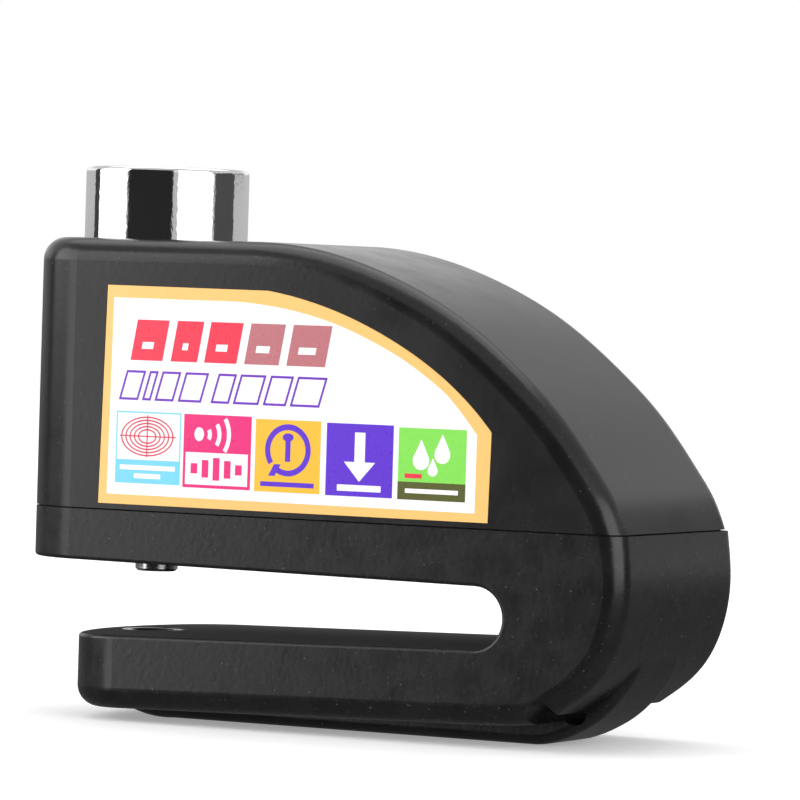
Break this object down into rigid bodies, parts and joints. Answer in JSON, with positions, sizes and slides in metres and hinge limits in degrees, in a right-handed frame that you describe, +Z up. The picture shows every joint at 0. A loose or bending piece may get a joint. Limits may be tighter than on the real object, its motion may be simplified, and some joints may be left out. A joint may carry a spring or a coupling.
{
  "type": "disc brake lock",
  "caption": "Motorcycle disc brake lock with built-in alarm: C-shaped body, push-down chromed lock cylinder and a locking pin across the disc slot.",
  "frame": {"origin": "middle of the footprint, on the surface that the keel rests on", "axes": "+Z up along the plunger, +X from the mouth of the disc slot to the closed rear end, -Y is the face with the label"},
  "size_m": [0.0968, 0.0368, 0.077],
  "materials": {
    "black_paint": "semi-gloss black paint on a zinc casting",
    "label_film": "printed film",
    "black_rubber": "moulded rubber",
    "steel": "turned steel",
    "dark_steel": "blackened steel",
    "chrome": "mirror chrome plate",
    "pin_steel": "ground hardened steel",
    "spring_steel": "drawn wire",
    "brass": "machined brass",
    "black_plastic": "moulded plastic",
    "board_green": "solder resist",
    "chip_black": "moulded epoxy",
    "copper": "enamelled copper wire",
    "capacitor_sleeve": "shrink sleeve",
    "cell_steel": "nickel-plated can",
    "nickel": "nickel plate",
    "mesh_cloth": "woven acoustic mesh",
    "lead_red": "PVC insulation"
  },
  "bodies": {
    "housing": {"battery_contacts": "nickel", "battery_holder": "black_plastic", "battery_leads": "lead_red", "board_screws": "steel", "boost_coil": "copper", "button_cells": "cell_steel", "circuit_board": "board_green", "control_chip": "chip_black", "driver_transistor": "chip_black", "dust_seal": "black_rubber", "electronics_tray": "black_plastic", "front_label": "label_film", "guide_sleeve": "steel", "housing_gasket": "black_rubber", "housing_screws": "steel", "limit_switch": "black_plastic", "lower_body": "black_paint", "pin_guide_bush": "steel", "pin_seat_bush": "steel", "plunger_stop_screw": "dark_steel", "reservoir_capacitor": "capacitor_sleeve", "shock_sensor": "steel", "siren_case": "black_plastic", "siren_cover": "black_plastic", "siren_diaphragm": "brass", "siren_gasket": "black_rubber", "siren_leads": "lead_red", "sound_mesh": "mesh_cloth", "upper_housing": "black_paint"},
    "plunger": {"lock_cylinder": "chrome", "pin_carrier": "steel", "locking_pin": "pin_steel", "carrier_cross_pin": "dark_steel", "return_spring": "spring_steel", "pin_chamber": "brass", "driver_pins": "brass", "tumbler_springs": "spring_steel", "latch_spring": "spring_steel"},
    "plug": {"key_plug": "chrome", "cam_disc": "steel", "plug_retainer": "spring_steel"},
    "tumblers": {"key_pins": "brass"},
    "latch": {"latch_bolt": "steel"},
    "ball": {"sensor_ball": "steel"},
    "lever": {"switch_lever": "steel"}
  },
  "joints": [
    {"name": "plunger_slide", "type": "slide", "parent": "housing", "child": "plunger", "axis": [0, 0, -1], "range_m": [0, 0.0116], "stiffness_N_per_m": 600, "springref_m": -0.004, "deforming": ["return_spring"]},
    {"name": "key_turn", "type": "hinge", "parent": "plunger", "child": "plug", "pos_m": [-0.03333, 0, 0.0602], "axis": [0, 0, -1], "range_deg": [0, 60], "stiffness_Nm_per_rad": 0.02},
    {"name": "tumbler_push", "type": "slide", "parent": "plug", "child": "tumblers", "axis": [0, 0, -1], "range_m": [0, 0.001], "stiffness_N_per_m": 100, "springref_m": -0.001},
    {"name": "latch_retract", "type": "slide", "parent": "plunger", "child": "latch", "axis": [-1, 0, 0], "range_m": [0, 0.0018]},
    {"name": "sensor_ball_roll", "type": "slide", "parent": "housing", "child": "ball", "axis": [1, 0, 0], "range_m": [0, 0.003]},
    {"name": "switch_lever_tilt", "type": "hinge", "parent": "housing", "child": "lever", "pos_m": [-0.01383, 0, 0.03545], "axis": [0, -1, 0], "range_deg": [0, 10]}
  ],
  "couplings": [
    {"joint": "latch_retract", "follows": "key_turn", "m_per_rad": 0.0017187},
    {"joint": "switch_lever_tilt", "follows": "plunger_slide", "rad_per_m": 15.044}
  ]
}
